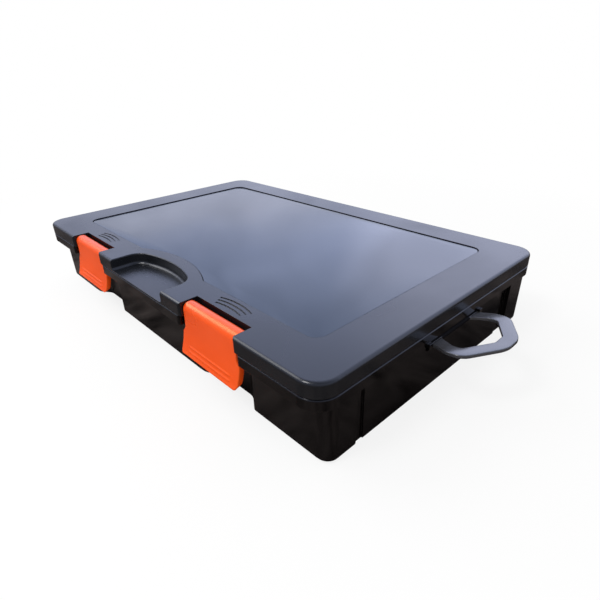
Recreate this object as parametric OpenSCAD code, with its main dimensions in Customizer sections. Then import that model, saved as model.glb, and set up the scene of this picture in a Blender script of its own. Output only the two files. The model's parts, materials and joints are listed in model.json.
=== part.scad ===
// Flat tackle box: slotted tray, hinged lid with a smoked window, two snap latches,
// loose dividers and a fold-away hanging loop.
// The origin is the middle of the underside. X runs along the latch side, Y to the hinges.

/* [Box] */
// Width over the rim, along the latch side
box_w = 356; // [330:1:400]
// Depth over the rim, from latch side to hinge side
box_d = 228; // [216:1:260]
// Height from the table to the top of the lid
box_h = 56; // [52:0.5:70]
// Corner radius of the rim, seen from above
rim_r = 14; // [12:0.5:20]
// Thickness of the tray and lid walls
wall = 2.2; // [1.8:0.1:2.6]
// Open seam between the lid and the tray
seam = 0.3; // [0.2:0.05:0.5]

/* [Tray] */
// Height of the rim that overhangs the tray walls
flange_h = 7; // [6:0.5:8]
// Overhang of the rim at the sides and the back
side_inset = 2.6; // [2.4:0.1:4.5]
// Overhang of the rim at the latch side
front_inset = 9.2; // [8:0.1:14]
// Corner radius of the tray below the rim
tray_r = 8; // [7:0.5:11]
// How much each wall leans in from the rim to the table
draft = 0.4; // [0:0.1:1]
// Rounding along the bottom edge
foot_r = 3.4; // [1:0.1:3.8]
// Height of the lip that stands up inside the lid
lip_h = 2.2; // [1:0.1:3]
// How far the long panel of each end wall stands back from its corners
panel_depth = 1.8; // [0.5:0.1:2]
// Width of the channel near the front of each end wall
front_channel_w = 7.5; // [4:0.5:10]
// Width of the channel near the back of each end wall
back_channel_w = 12; // [6:0.5:16]
// Distance of both channels from the middle of the box
channel_y = 79.5; // [70:0.5:84]
// Depth of the channels
channel_depth = 3; // [1:0.1:3]

/* [Compartments] */
// Height of the two long partitions above the table
partition_h = 43; // [30:0.5:44]
// Thickness of the long partitions
partition_t = 1.8; // [1.4:0.1:2.4]
// Thickness of a loose divider
divider_t = 1.6; // [1.2:0.1:2]
// Height of a loose divider
divider_h = 39; // [25:0.5:40]
// Play of a divider in its slot, on each side
divider_play = 0.2; // [0.1:0.05:0.4]

/* [Lid] */
// Height of the lid
lid_h = 9.6; // [9.2:0.1:12]
// Thickness of the top of the lid
lid_top_t = 2; // [1.6:0.1:2.4]
// Rounding along the top edge of the lid
lid_edge_r = 2.2; // [1:0.1:3]
// Width of the window
window_w = 298; // [240:1:310]
// Plain border between the latch side and the window
window_front = 28.4; // [26:0.1:34]
// Plain border between the window and the hinge side
window_back = 25.5; // [15:0.5:40]
// How deep the window lies below the top of the lid
window_sunk = 0.8; // [0.6:0.1:1.5]
// Thickness of the window
window_t = 1.6; // [1.2:0.1:2]
// Width of the finger recess in the middle of the latch side
recess_w = 75; // [60:1:80]
// Length of the finger recess, from the latch side
recess_d = 29.5; // [24:0.5:31]
// Depth of the finger recess
recess_depth = 8.3; // [5:0.1:8.4]

/* [Latches] */
// Distance of each latch from the middle of the box
latch_x = 87.6; // [82:0.1:100]
// Width of a latch between the cheeks of its notch
latch_w = 52.6; // [40:0.1:56]
// Extra width of the thumb plate on each side
latch_flare = 2.7; // [1:0.1:3.5]
// Height of the thumb plate's lower end above the table
latch_bottom = 21.5; // [16:0.1:26]
// Thickness of a latch
latch_t = 2.2; // [1.8:0.1:2.6]
// Radius of the barrel that a latch turns on
latch_barrel_r = 4.4; // [3.8:0.1:4.5]
// Radius of the steel pin in each latch
latch_pin_r = 1.25; // [1:0.05:1.6]

/* [Hinges] */
// Distance of each hinge from the middle of the box
hinge_x = 105; // [80:1:130]
// Length of the middle knuckle, which belongs to the lid
lid_knuckle_w = 24; // [16:1:32]
// Length of each outer knuckle, which belongs to the tray
tray_knuckle_w = 12; // [8:1:16]
// Radius of the knuckles
knuckle_r = 3.2; // [2.8:0.1:3.6]
// Radius of the steel hinge pins
hinge_pin_r = 1.25; // [1:0.05:1.6]
// Radial play of whatever turns on a pin
pin_play = 0.08; // [0.05:0.01:0.1]

/* [Hanging loop] */
// Width of the loop along the end wall
loop_w = 59; // [50:0.5:64]
// Width of the loop between its two ears
loop_root_w = 53; // [44:0.5:56]
// Reach of the loop beyond the rim
loop_reach = 35; // [28:0.2:36]
// Width of the loop's bar
loop_bar = 8.4; // [6:0.1:9]
// How far the loop points up at rest
loop_tilt = 6; // [0:1:8]
// Thickness of the loop
loop_t = 2.2; // [1.8:0.1:2.6]

/* [Hidden] */
$fn = 48;
eps = 0.01;
over = 1;

// The rim's four sides and the levels of the box
right = box_w / 2;
back = box_d / 2;
front = -back;
parting = box_h - lid_h;
tray_top = parting - seam / 2;
lid_bottom = parting + seam / 2;
flange_bottom = parting - flange_h;
rim_edge = 0.5;

// The tray's wall, its cavity and its lip
tray_w = box_w - 2 * side_inset;
tray_d = box_d - front_inset - side_inset;
tray_y = (front_inset - side_inset) / 2;
tray_right = right - side_inset;
tray_front = front + front_inset;
tray_back = back - side_inset;
lip_setback = 0.5;
lip_r = rim_r - side_inset;
floor_t = wall;
wall_in = wall + draft;
cavity_r = tray_r - wall_in;

// The rows between the partitions
row_w = (tray_d - 2 * wall_in - 2 * partition_t) / 3;
slot_steps = 10;
slot_pitch = (tray_w - 2 * wall_in) / slot_steps;
row_y = [for (i = [0:2]) tray_front + wall_in + row_w / 2 + i * (row_w + partition_t)];
partition_y = [for (i = [0:1]) row_y[i] + (row_w + partition_t) / 2];
slot_w = divider_t + 2 * divider_play;
slot_rib_t = 1.2;
slot_rib_d = 1.4;
all_slots = [for (i = [-4:4]) i * slot_pitch];
front_slots = [for (i = [-4, -1, 0, 1, 4]) i * slot_pitch];
slot_h = divider_h;
// Slots that hold a divider, counted from the middle, for each row
divider_slots = [[-4, -1, 1, 4], [-3, -1, 1, 3], [-3, -1, 1, 3]];
divider_names = ["front", "middle", "back"];
divider_grip_w = 26;
divider_grip_d = 5;

// The wall behind each latch stands back, for a finger below the thumb plate. The sides of
// this pocket run back to the wall in an S.
pocket_w = 27;
pocket_d = 9;
pocket_run = 18;

// Cells moulded into the underside of the rim
cell_wall = 1.6;
cell_n = 4;

// The latch swings on its barrel in a notch that lid and rim share
notch_play = 0.7;
notch_d = 13.7;
notch_r = 2;
notch_half = latch_w / 2 + notch_play;
rim_notch_half = notch_half + latch_flare;
cheek_t = 2.6;
latch_setback = 2.3;
latch_lean = 4.6;
latch_barrel_y = front + latch_setback + latch_barrel_r;
latch_barrel_z = lid_bottom + latch_barrel_r + 0.1;
barrel_back = 1;
barrel_dip = 1.3;
keeper_d = 5.6;
hook_gap = 0.3;
hook_w = 38;
hook_h = 1.8;
flare_h = 4;
flare_drop = 6.6;
thumb_r = 4.5;
thumb_cheek_t = 1.6;
thumb_cheek_d = 3.4;
grip_n = 2;
grip_w = 42;
grip_r = 0.8;
grip_pitch = 3;
grip_z = latch_bottom + 3.7;
pin_seat = 0.03;
latch_pin_w = 2 * (notch_half + cheek_t - 0.6);

// The window sits on a ledge below the top of the lid
window_r = 8;
window_bump_r = 92;
window_bump_d = 39.6;
window_gap = 0.15;
ledge_w = 4;
ledge_t = 1.4;
window_top = box_h - window_sunk;
window_bottom = window_top - window_t;

// The finger recess: straight sides, round corners and a flat arc across the back
recess_arc_r = 95;
recess_corner_r = 12;
recess_fillet = 2.4;
recess_lip_r = 0.9;
recess_wall = 1.6;
recess_floor = box_h - recess_depth;

// Three curved grooves between each latch and the window
groove_n = 3;
groove_w = 1.3;
groove_depth = 0.6;
groove_pitch = 3.3;
groove_first = 4.7;
groove_chord = 24;
groove_step = 3;
groove_r = 48;

// The hinges stand just behind the rim, at the height of the seam
knuckle_gap = 0.4;
hinge_y = back + knuckle_r + knuckle_gap;
hinge_w = lid_knuckle_w + 2 * (tray_knuckle_w + knuckle_gap);

// The hanging loop folds down against the end wall
loop_axis_r = 1.6;
loop_gap = 0.4;
loop_x = tray_right + loop_axis_r + loop_gap;
loop_z = flange_bottom - loop_axis_r - loop_gap;
loop_y = tray_y;
loop_tip_w = 14;
loop_neck = 4;
loop_swell = 11;
loop_shoulder = 21;
loop_corner_r = 8;
hole_root_w = 33;
stub_r = 1.2;
stub_w = 3;
lug_w = 3.4;
lug_r = 2.3;

// Points on an arc, from one angle to another
function arc(centre, r, from, to, n) =
    [for (i = [0:n]) let (a = from + (to - from) * i / n) centre + r * [cos(a), sin(a)]];

// An outline with each of its corners rounded to radius r
function rounded(points, r, n = 6) =
    [for (i = [0:len(points) - 1])
        let (p = points[i],
             u = unit(points[(i + len(points) - 1) % len(points)] - p),
             v = unit(points[(i + 1) % len(points)] - p),
             half = acos(u * v) / 2,
             centre = p + unit(u + v) * r / sin(half),
             turn = sign(cross(u, v)),
             a = atan2(-u.x * turn, u.y * turn))
        for (q = arc(centre, r, a, a - turn * (180 - 2 * half), n)) q];
function unit(v) = v / norm(v);

// The plan of a notch in a wall that faces the front, opening with rounded corners
function notch_plan(half, depth, r) = concat(
    [[half + r, -over], [half + r, 0]],
    arc([half + r, r], r, 270, 180, 5),
    [[half, depth], [-half, depth]],
    arc([-half - r, r], r, 0, -90, 5),
    [[-half - r, -over]]
);

// The plan of a latch's pocket, with its opening along y = 0, grown on all sides
function pocket_plan(grow) =
    let (n = 8,
         side = [for (i = [0:n]) let (t = i / n)
                 [pocket_w / 2 + pocket_run * (1 - t) + grow, pocket_d * t * t * (3 - 2 * t) + grow]])
    concat([[side[0].x, -over]], side, [for (i = [n:-1:0]) [-side[i].x, side[i].y]], [[-side[0].x, -over]]);

// A solid through outlines of equally many points, one above the other
module loft(outlines, heights) {
    n = len(outlines[0]);
    top = (len(outlines) - 1) * n;
    polyhedron(
        [for (i = [0:len(outlines) - 1]) for (p = outlines[i]) [p.x, p.y, heights[i]]],
        concat(
            [[for (j = [0:n - 1]) j]],
            [for (i = [0:len(outlines) - 2], j = [0:n - 1])
                let (k = (j + 1) % n) [i * n + j, (i + 1) * n + j, (i + 1) * n + k, i * n + k]],
            [[for (j = [n - 1:-1:0]) top + j]]
        )
    );
}

// A block on a rounded rectangle. Its edge follows the profile's [inset, height] points,
// from the lowest to the highest, all the way round.
module block(w, d, r, profile) {
    module section(half)
        polygon(concat([for (p = profile) [half - p.x, p.y]],
                       [for (i = [len(profile) - 1:-1:0]) [profile[i].x - half, profile[i].y]]));
    rotate([90, 0, 90]) linear_extrude(w - 2 * r, center = true) section(d / 2);
    rotate([90, 0, 0]) linear_extrude(d - 2 * r, center = true) section(w / 2);
    for (turn = [0:3]) {
        swap = turn % 2 == 1;
        rotate(90 * turn)
            translate([(swap ? d : w) / 2 - r, (swap ? w : d) / 2 - r])
                rotate_extrude(angle = 90)
                    polygon(concat([[0, profile[0].y]],
                                   [for (p = profile) [r - p.x, p.y]],
                                   [[0, profile[len(profile) - 1].y]]));
    }
}

// A shape drawn in the Y-Z plane and drawn out along X, from the middle
module along_x(w) {
    rotate([90, 0, 90]) linear_extrude(w, center = true) children();
}

module rounded_box(w, d, h, r) {
    linear_extrude(h) plate(w, d, r);
}

module plate(w, d, r) {
    square([w - 2 * r, d], center = true);
    square([w, d - 2 * r], center = true);
    for (x = [-1, 1], y = [-1, 1])
        translate([x * (w / 2 - r), y * (d / 2 - r)]) circle(r);
}

module at_latches() {
    for (side = [-1, 1]) translate([side * latch_x, 0, 0]) children();
}

module at_hinges() {
    for (side = [-1, 1]) translate([side * hinge_x, hinge_y, parting]) children();
}

// ---------------------------------------------------------------- tray

module tray_solid() {
    translate([0, tray_y, 0])
        block(tray_w, tray_d, tray_r, concat(
            [for (p = arc([draft + foot_r, foot_r], foot_r, 270, 180, 5)) p],
            [[0, tray_top - eps]]));
    difference() {
        block(box_w, box_d, rim_r, [[rim_edge, flange_bottom], [0, flange_bottom + rim_edge],
                                    [0, tray_top - rim_edge], [rim_edge, tray_top]]);
        rim_cells();
    }
    translate([0, tray_y, 0])
        block(tray_w, tray_d, lip_r, [[lip_setback, flange_bottom], [lip_setback, tray_top + lip_h]]);
    loop_lugs();
    tray_knuckles();
}

// Open cells under the rim along the latch side, with thin webs between them
module rim_cells() {
    inner = latch_x - rim_notch_half - notch_r - cell_wall;
    outer_from = latch_x + rim_notch_half + notch_r + cell_wall;
    outer_to = right - rim_r - cell_wall;
    pitch = 2 * inner / cell_n;
    cell_h = flange_h - wall;
    cell_d = front_inset - wall - cell_wall;
    for (i = [0:cell_n - 1])
        translate([-inner + pitch * i + cell_wall / 2, front + wall, flange_bottom - over])
            cube([pitch - cell_wall, cell_d, cell_h + over]);
    for (side = [-1, 1])
        translate([side * (outer_from + outer_to) / 2, front + wall + cell_d / 2, flange_bottom - over])
            linear_extrude(cell_h + over) square([outer_to - outer_from, cell_d], center = true);
}

module tray_cavity() {
    difference() {
        translate([0, tray_y, 0])
            block(tray_w - 2 * wall_in, tray_d - 2 * wall_in, cavity_r, concat(
                arc([foot_r, floor_t + foot_r], foot_r, 270, 180, 4),
                [[0, tray_top + lip_h + over]]));
        at_latches() translate([0, tray_front, 0]) linear_extrude(tray_top) polygon(pocket_plan(wall));
        end_recesses(wall_in, tray_top);
    }
}

// What is cut from the rim and the walls around the latches
module latch_cuts() {
    at_latches() {
        translate([0, front, flange_bottom - over])
            linear_extrude(flange_h + over)
                polygon(notch_plan(rim_notch_half, keeper_d, notch_r));
        translate([0, tray_front, -over])
            linear_extrude(flange_bottom + over)
                polygon(pocket_plan(0));
        // The rim lies a little lower below the barrel
        translate([-notch_half, front + keeper_d - eps, tray_top - barrel_dip])
            cube([2 * notch_half, notch_d - keeper_d, lip_h + barrel_dip]);
        translate([-notch_half - cheek_t - over, front, tray_top])
            cube([2 * (notch_half + cheek_t + over), notch_d + wall + over, lip_h + over]);
    }
    recess_half = recess_w / 2 + recess_wall + over;
    translate([-recess_half, front, tray_top])
        cube([2 * recess_half, recess_d + recess_wall + over, lip_h + over]);
}

// The long panel of each end wall and the upright channels at its two ends, grown on all sides
module end_recesses(grow, top) {
    spans = [[-channel_y - front_channel_w / 2, -channel_y + front_channel_w / 2, channel_depth],
             [-channel_y, channel_y, panel_depth],
             [channel_y - back_channel_w / 2, channel_y + back_channel_w / 2, channel_depth]];
    for (side = [-1, 1], s = spans)
        translate([side * tray_right, (s[0] + s[1]) / 2, (top - over) / 2])
            cube([2 * (s[2] + grow), s[1] - s[0] + 2 * grow, top + over], center = true);
}

// A stiffening step in the underside of the floor
module floor_step() {
    step_inset = 22;
    step_w = 4;
    step_depth = 0.6;
    translate([0, tray_y, -over]) difference() {
        rounded_box(tray_w - 2 * step_inset, tray_d - 2 * step_inset, over + step_depth, rim_r);
        translate([0, 0, -over])
            rounded_box(tray_w - 2 * (step_inset + step_w), tray_d - 2 * (step_inset + step_w),
                        3 * over, rim_r - step_w);
    }
}

// A wall with pairs of ribs that hold dividers, drawn from above with its middle at y = 0.
// low and high list the slots on its -Y and +Y faces, each from left to right.
module slotted_wall(length, t, low, high) {
    rib_edges = slot_w / 2 + slot_rib_t;
    function ribs(x, y, dir) =
        [[x - dir * rib_edges, y], [x - dir * rib_edges, y - dir * slot_rib_d],
         [x - dir * slot_w / 2, y - dir * slot_rib_d], [x - dir * slot_w / 2, y],
         [x + dir * slot_w / 2, y], [x + dir * slot_w / 2, y - dir * slot_rib_d],
         [x + dir * rib_edges, y - dir * slot_rib_d], [x + dir * rib_edges, y]];
    polygon(concat(
        [[-length / 2, -t / 2]],
        [for (x = low) each ribs(x, -t / 2, 1)],
        [[length / 2, -t / 2], [length / 2, t / 2]],
        [for (i = [len(high) - 1:-1:0]) each ribs(high[i], t / 2, -1)],
        [[-length / 2, t / 2]]));
}

module compartment_walls() {
    length = tray_w - 2 * wall_in;
    for (i = [0:1])
        translate([0, partition_y[i], floor_t - eps])
            linear_extrude(partition_h - floor_t)
                slotted_wall(length + wall, partition_t, i == 0 ? front_slots : all_slots, all_slots);
    // The slot ribs on the inside of the front and the back wall
    translate([0, tray_front + wall_in - wall / 2, floor_t - eps])
        linear_extrude(slot_h) slotted_wall(length - 2 * cavity_r, wall, [], front_slots);
    translate([0, tray_back - wall_in + wall / 2, floor_t - eps])
        linear_extrude(slot_h) slotted_wall(length - 2 * cavity_r, wall, all_slots, []);
}

// The outer knuckles of both hinges, on webs from the rim
module tray_knuckles() {
    at_hinges()
        for (side = [-1, 1])
            translate([side * (lid_knuckle_w + 2 * knuckle_gap + tray_knuckle_w) / 2, 0, 0])
                knuckle(tray_knuckle_w, hinge_pin_r + pin_seat, -1, seam / 2);
}

// A hinge knuckle on its web. dir is 1 for a web above the axis and -1 for one below.
module knuckle(w, bore_r, dir, rise) {
    reach = hinge_y - back + wall / 2;
    difference() {
        along_x(w) {
            circle(knuckle_r);
            polygon([[-reach, dir * rise], [0, dir * rise], [knuckle_r * cos(45), dir * knuckle_r * cos(45)],
                     [-reach, dir * (knuckle_r + wall)]]);
        }
        along_x(w + over) circle(bore_r);
    }
}

// The two ears under the rim that carry the hanging loop
module loop_lugs() {
    for (side = [-1, 1])
        translate([loop_x, loop_y + side * (loop_root_w / 2 + loop_gap + lug_w / 2), loop_z])
            rotate([90, 0, 0]) linear_extrude(lug_w, center = true) difference() {
                union() {
                    circle(lug_r);
                    translate([-loop_x + tray_right - wall / 2, -lug_r])
                        square([loop_x - tray_right + wall / 2, 2 * lug_r]);
                    translate([-loop_x + tray_right - wall / 2, 0])
                        square([loop_x - tray_right + wall / 2 + lug_r, flange_bottom - loop_z + rim_edge]);
                }
                circle(stub_r + pin_play);
            }
}

module base_tray() {
    color("#1b1a1d")
        difference() {
            union() {
                difference() {
                    tray_solid();
                    tray_cavity();
                }
                compartment_walls();
            }
            latch_cuts();
            end_recesses(0, flange_bottom);
            floor_step();
        }
}

module divider(row, i) {
    w = row_w - 2 * divider_play;
    chamfer = foot_r + divider_play;
    color("#26262a")
        translate([divider_slots[row][i] * slot_pitch, row_y[row], floor_t])
            along_x(divider_t)
                difference() {
                    polygon([[chamfer - w / 2, 0], [w / 2 - chamfer, 0], [w / 2, chamfer],
                             [w / 2, divider_h], [-w / 2, divider_h], [-w / 2, chamfer]]);
                    polygon(rounded([[-divider_grip_w / 2, divider_h + 3 * over],
                                     [-divider_grip_w / 3, divider_h - divider_grip_d],
                                     [divider_grip_w / 3, divider_h - divider_grip_d],
                                     [divider_grip_w / 2, divider_h + 3 * over]], over));
                }
}

// ---------------------------------------------------------------- lid

// The window seen from above, with the arc that keeps it clear of the finger recess
module window_plan(grow) {
    d = box_d - window_front - window_back;
    difference() {
        translate([0, front + window_front + d / 2])
            plate(window_w + 2 * grow, d + 2 * grow, window_r + grow);
        translate([0, front + window_bump_d - window_bump_r]) circle(window_bump_r - grow, $fn = 240);
    }
}

// The finger recess seen from above, grown on all sides
function recess_plan(grow, start) =
    let (arc_y = front + recess_d - recess_arc_r,
         corner_x = recess_w / 2 - recess_corner_r,
         rise = sqrt(pow(recess_arc_r - recess_corner_r, 2) - pow(corner_x, 2)),
         meet = atan2(rise, corner_x),
         r = recess_corner_r + grow)
    concat(
        [[recess_w / 2 + grow, start]],
        arc([corner_x, arc_y + rise], r, 0, meet, 8),
        arc([0, arc_y], recess_arc_r + grow, meet, 180 - meet, 12),
        arc([-corner_x, arc_y + rise], r, 180 - meet, 180, 8),
        [[-recess_w / 2 - grow, start]]);

// The space of the recess, with a fillet round its floor and a rounded edge at the top
module recess_space() {
    fillet = [for (p = arc([-recess_fillet, recess_floor + recess_fillet], recess_fillet, 270, 360, 5)) p];
    lip = [for (p = arc([recess_lip_r, box_h - recess_lip_r], recess_lip_r, 180, 90, 4)) p];
    steps = concat([fillet[0]], [for (i = [1:5]) fillet[i]], lip, [[recess_lip_r, box_h + over]]);
    loft([for (s = steps) recess_plan(s.x, front - over)], [for (s = steps) s.y]);
}

module lid_shell() {
    inset_w = 2 * wall;
    difference() {
        block(box_w, box_d, rim_r, concat(
            [[rim_edge, lid_bottom], [0, lid_bottom + rim_edge]],
            arc([lid_edge_r, box_h - lid_edge_r], lid_edge_r, 180, 90, 6)));
        block(box_w - inset_w, box_d - inset_w, rim_r - wall,
              [[0, lid_bottom - over], [0, box_h - lid_top_t]]);
    }
}

// Walls inside the lid round the latch notches, the recess and the window
module lid_walls() {
    into_top = box_h - lid_top_t / 2;
    at_latches()
        translate([-notch_half - cheek_t, front + wall / 2, lid_bottom])
            cube([2 * (notch_half + cheek_t), notch_d + wall / 2, into_top - lid_bottom]);
    loft([for (z = [0, 1]) recess_plan(recess_wall, front + wall / 2)], [lid_bottom, into_top]);
    translate([0, 0, window_bottom - ledge_t])
        linear_extrude(into_top - window_bottom + ledge_t) difference() {
            window_plan(wall);
            window_plan(-ledge_w);
        }
}

module lid_cuts() {
    at_latches() {
        translate([0, front, lid_bottom - over])
            linear_extrude(lid_h + 2 * over) polygon(notch_plan(notch_half, notch_d, notch_r));
        translate([0, latch_barrel_y, latch_barrel_z])
            along_x(latch_pin_w) circle(latch_pin_r + pin_seat);
        translate([0, front + notch_d, box_h - groove_depth]) grooves();
    }
    recess_space();
    translate([0, 0, window_bottom]) linear_extrude(window_t + window_sunk + over) window_plan(window_gap);
    linear_extrude(box_h + over) window_plan(-ledge_w);
}

// Three arcs behind a notch, each a little longer than the one before
module grooves() {
    for (i = [0:groove_n - 1]) {
        angle = 2 * asin((groove_chord + groove_step * i) / 2 / groove_r);
        translate([0, groove_first + groove_pitch * i - groove_r, 0])
            rotate(90 - angle / 2)
                rotate_extrude(angle = angle)
                    translate([groove_r - groove_w / 2, 0]) square([groove_w, groove_depth + over]);
    }
}

module lid_frame() {
    color("#2b2d33") {
        difference() {
            union() {
                lid_shell();
                lid_walls();
            }
            lid_cuts();
        }
        at_hinges() knuckle(lid_knuckle_w, hinge_pin_r + pin_play, 1, seam / 2);
    }
}

module lid_window() {
    color("#3d4350")
        translate([0, 0, window_bottom]) linear_extrude(window_t) window_plan(0);
}

// ---------------------------------------------------------------- latches

// The latch's outer face hangs straight below the barrel and curls out towards its lower end
function latch_face(z) =
    front + latch_setback - latch_lean * pow((latch_barrel_z - z) / (latch_barrel_z - latch_bottom), 3);

// The latch seen from its end: barrel, plate and rounded lower edge
module latch_side() {
    steps = 14;
    zs = [for (i = [0:steps]) latch_barrel_z + (latch_bottom + latch_t / 2 - latch_barrel_z) * i / steps];
    translate([latch_barrel_y, latch_barrel_z]) {
        for (y = [0, barrel_back]) translate([y, 0]) circle(latch_barrel_r);
        translate([0, -latch_barrel_r]) square([barrel_back, 2 * latch_barrel_r]);
    }
    polygon(concat([for (z = zs) [latch_face(z), z]],
                   [for (i = [steps:-1:0]) [latch_face(zs[i]) + latch_t, zs[i]]]));
    translate([latch_face(zs[steps]) + latch_t / 2, zs[steps]]) circle(latch_t / 2, $fn = 24);
}

// The latch seen from the front: narrow in the notch and wider at the thumb plate
module latch_front() {
    wide = latch_w / 2 + latch_flare;
    flare_top = parting - flare_drop;
    polygon(concat(
        [[-latch_w / 2, box_h + over], [-latch_w / 2, flare_top], [-wide, flare_top - flare_h]],
        arc([-wide + thumb_r, latch_bottom + thumb_r], thumb_r, 180, 270, 6),
        arc([wide - thumb_r, latch_bottom + thumb_r], thumb_r, 270, 360, 6),
        [[wide, flare_top - flare_h], [latch_w / 2, flare_top], [latch_w / 2, box_h + over]]));
}

// Cheeks on both sides of the thumb plate, and the hook rib that meets the keeper
module latch_back() {
    wide = latch_w / 2 + latch_flare;
    top = parting - flare_drop - flare_h / 2;
    for (side = [-1, 1])
        translate([side * (wide - thumb_cheek_t / 2), 0, 0])
            along_x(thumb_cheek_t)
                polygon([[latch_face(top) + eps, top], [front + thumb_cheek_d, top - 2],
                         [front + thumb_cheek_d - 1, latch_bottom + thumb_r],
                         [latch_face(latch_bottom) + latch_t, latch_bottom + latch_t],
                         [latch_face(latch_bottom) + eps, latch_bottom + latch_t]]);
    hook_top = flange_bottom - hook_gap;
    along_x(hook_w)
        polygon([[latch_face(hook_top) + latch_t / 2, hook_top],
                 [front + keeper_d - hook_gap - hook_h / 2, hook_top],
                 [front + keeper_d - hook_gap, hook_top - hook_h / 2],
                 [latch_face(hook_top) + latch_t / 2, hook_top - 2 * hook_h]]);
}

module grip_ribs() {
    for (i = [0:grip_n - 1]) {
        z = grip_z + i * grip_pitch;
        translate([0, latch_face(z) + grip_r / 3, z])
            rotate([0, 90, 0]) cylinder(r = grip_r, h = grip_w, center = true, $fn = 20);
    }
}

module latch(side) {
    color("#f26a2a")
        translate([side * latch_x, 0, 0]) difference() {
            union() {
                intersection() {
                    union() {
                        along_x(latch_w + 2 * latch_flare + 2 * over) latch_side();
                        latch_back();
                    }
                    translate([0, front + notch_d, 0])
                        rotate([90, 0, 0]) linear_extrude(2 * notch_d) latch_front();
                }
                grip_ribs();
            }
            translate([0, latch_barrel_y, latch_barrel_z])
                along_x(latch_w + over) circle(latch_pin_r + pin_play);
        }
}

module latch_pin(side) {
    color("#a9adb3")
        translate([side * latch_x, latch_barrel_y, latch_barrel_z])
            rotate([0, 90, 0]) cylinder(r = latch_pin_r, h = latch_pin_w, center = true);
}

// ---------------------------------------------------------------- hinges and loop

module hinge_pin(side) {
    color("#a9adb3")
        translate([side * hinge_x, hinge_y, parting])
            rotate([0, 90, 0]) cylinder(r = hinge_pin_r, h = hinge_w, center = true);
}

// The loop seen from above, with the turning axis along x = 0. The hole's slanted sides run
// one bar width inside the outer ones.
module loop_plan() {
    reach = (right + loop_reach - loop_x) / cos(loop_tilt);
    half = loop_w / 2;
    root_half = loop_root_w / 2;
    tip = loop_tip_w / 2;
    slope = unit([reach - loop_shoulder, half - tip]);
    inner = half - loop_bar;
    root = loop_axis_r + loop_gap;
    hole_tip = reach - loop_bar;
    // Where the hole's slanted sides meet its straight ones
    corner = loop_shoulder + loop_bar * (slope.x - 1) / slope.y;
    slant_y = inner - (hole_tip - corner) * slope.y / slope.x;
    difference() {
        intersection() {
            polygon(rounded([[-half, -root_half], [loop_neck, -root_half], [loop_swell, -half],
                             [loop_shoulder, -half], [reach, -tip], [reach, tip], [loop_shoulder, half],
                             [loop_swell, half], [loop_neck, root_half], [-half, root_half]],
                            loop_corner_r));
            translate([0, -half]) square([reach + over, loop_w]);
        }
        polygon(rounded([[root, -hole_root_w / 2], [loop_swell, -inner], [corner, -inner],
                         [hole_tip, -slant_y], [hole_tip, slant_y], [corner, inner],
                         [loop_swell, inner], [root, hole_root_w / 2]],
                        loop_corner_r - loop_bar / 2));
    }
}

module hanger() {
    color("#2a2b30")
        translate([loop_x, loop_y, loop_z]) rotate([0, -loop_tilt, 0]) {
            translate([0, 0, -loop_t / 2]) linear_extrude(loop_t) loop_plan();
            rotate([90, 0, 0]) cylinder(r = loop_axis_r, h = loop_root_w, center = true);
            rotate([90, 0, 0])
                cylinder(r = stub_r, h = loop_root_w + 2 * (loop_gap + stub_w), center = true);
        }
}

base_tray();
lid_frame();
lid_window();
latch(-1);  // latch_left
latch(1);  // latch_right
latch_pin(-1);  // latch_pin_left
latch_pin(1);  // latch_pin_right
hinge_pin(-1);  // hinge_pin_left
hinge_pin(1);  // hinge_pin_right
hanger();
for (row = [0:2], i = [0:3])
    divider(row, i);
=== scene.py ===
"""Looks of a flat fishing tackle box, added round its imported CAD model.

Laid out as a Blender 4.5 add-on and run as a script. The tray, the lid frame, the dividers and
the pins are the CAD's own solids with finishes of their own. The window, the snap latches and the
hanging loop are surfaces worked out with numpy, each of which stands for a CAD node.
"""

import json
import math

import bpy
import numpy as np
from mathutils import Matrix, Vector
from mathutils.geometry import tessellate_polygon


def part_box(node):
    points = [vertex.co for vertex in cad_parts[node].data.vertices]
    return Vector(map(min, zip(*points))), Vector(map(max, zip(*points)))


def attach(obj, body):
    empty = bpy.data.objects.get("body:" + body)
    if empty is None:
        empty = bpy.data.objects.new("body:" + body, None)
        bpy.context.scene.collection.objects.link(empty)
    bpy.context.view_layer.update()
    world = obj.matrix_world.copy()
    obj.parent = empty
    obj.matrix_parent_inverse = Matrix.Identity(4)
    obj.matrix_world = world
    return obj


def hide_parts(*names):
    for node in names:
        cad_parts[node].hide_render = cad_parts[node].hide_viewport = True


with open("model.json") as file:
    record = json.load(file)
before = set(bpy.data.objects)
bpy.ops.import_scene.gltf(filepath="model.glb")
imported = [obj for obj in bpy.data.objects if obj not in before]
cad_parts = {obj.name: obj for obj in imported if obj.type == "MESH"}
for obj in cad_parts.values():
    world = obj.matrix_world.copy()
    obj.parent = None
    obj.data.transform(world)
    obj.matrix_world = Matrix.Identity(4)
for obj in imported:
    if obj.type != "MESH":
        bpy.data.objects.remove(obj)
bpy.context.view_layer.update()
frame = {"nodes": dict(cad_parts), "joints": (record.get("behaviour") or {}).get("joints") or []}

bl_info = {
    "name": "Tackle Box",
    "version": (1, 0, 0),
    "blender": (4, 5, 0),
    "location": "3D View > Sidebar > Tackle Box",
    "description": "Finishes, window, snap latches, hanging loop and studio for the packed "
                   "tackle box",
    "category": "Add Mesh",
}

MM = 0.001
JOINTS = {joint["name"]: joint for joint in frame["joints"]}
SIDES = {"left": -1, "right": 1}

# What the CAD model says of the pieces that are made here
LATCH_LOW, LATCH_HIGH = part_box("latch_right")
LATCH_AXIS = Vector(JOINTS["latch_right_hinge"]["pos_m"])
WINDOW_LOW, WINDOW_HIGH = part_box("lid_window")
LOOP_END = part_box("hanger")[1].x
LOOP_AXIS = Vector(JOINTS["hanger_hinge"]["pos_m"])
LID_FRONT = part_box("lid_frame")[0].y

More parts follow.
